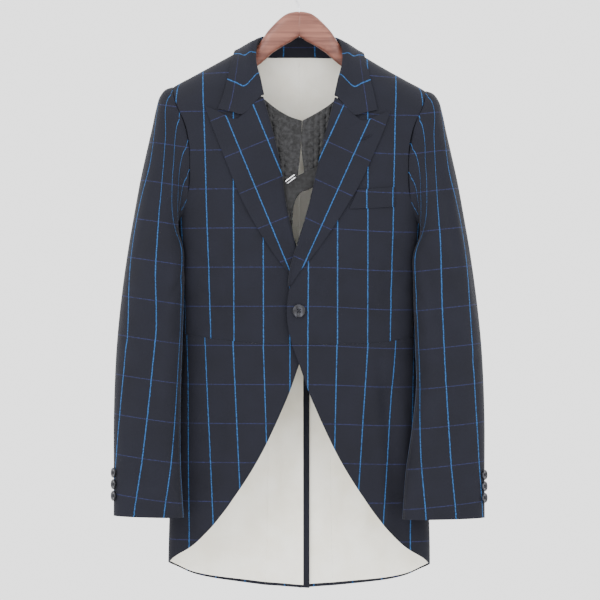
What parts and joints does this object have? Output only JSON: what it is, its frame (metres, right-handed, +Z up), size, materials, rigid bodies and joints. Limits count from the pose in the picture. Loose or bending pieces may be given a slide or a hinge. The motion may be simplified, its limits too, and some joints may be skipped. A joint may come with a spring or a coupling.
{
  "type": "tailcoat on a hanger",
  "caption": "Single-button cutaway tailcoat in dark windowpane wool with peaked lapels, cream lining and a leather chest harness, on a wooden hanger.",
  "frame": {"origin": "the inner top of the hanger hook, where a rail or a peg carries the whole part", "axes": "+Z up, -Y the front that the wearer faces, +X the wearer's left (the viewer's right)"},
  "size_m": [0.5755, 0.1449, 0.9671],
  "materials": {
    "wool_check": "dark navy wool twill with a fine blue windowpane check",
    "lining": "cream lining, soft sheen",
    "leather": "black leather with raised round cells",
    "button": "near-black horn-like buttons",
    "steel": "bright plated wire",
    "hanger_wood": "pinkish brown varnished wood"
  },
  "bodies": {
    "root": {"front_left": "wool_check", "front_right": "wool_check", "side_body_left": "wool_check", "side_body_right": "wool_check", "back_left": "wool_check", "back_right": "wool_check", "skirt_left": "wool_check", "skirt_right": "wool_check", "collar_leaf": "wool_check", "collar_stand": "wool_check", "lapel_left": "wool_check", "lapel_right": "wool_check", "top_sleeve_left": "wool_check", "under_sleeve_left": "wool_check", "top_sleeve_right": "wool_check", "under_sleeve_right": "wool_check", "breast_welt": "wool_check", "vent_facing": "wool_check", "lining_back_left": "lining", "lining_back_right": "lining", "lining_skirt_left": "lining", "lining_skirt_right": "lining", "harness_left": "leather", "harness_right": "leather", "harness_strap": "leather", "front_button": "button", "cuff_button_left_1": "button", "cuff_button_left_2": "button", "cuff_button_left_3": "button", "cuff_button_right_1": "button", "cuff_button_right_2": "button", "cuff_button_right_3": "button", "harness_buckle": "steel", "hanger_hook": "steel", "hanger_body": "hanger_wood"}
  },
  "joints": []
}
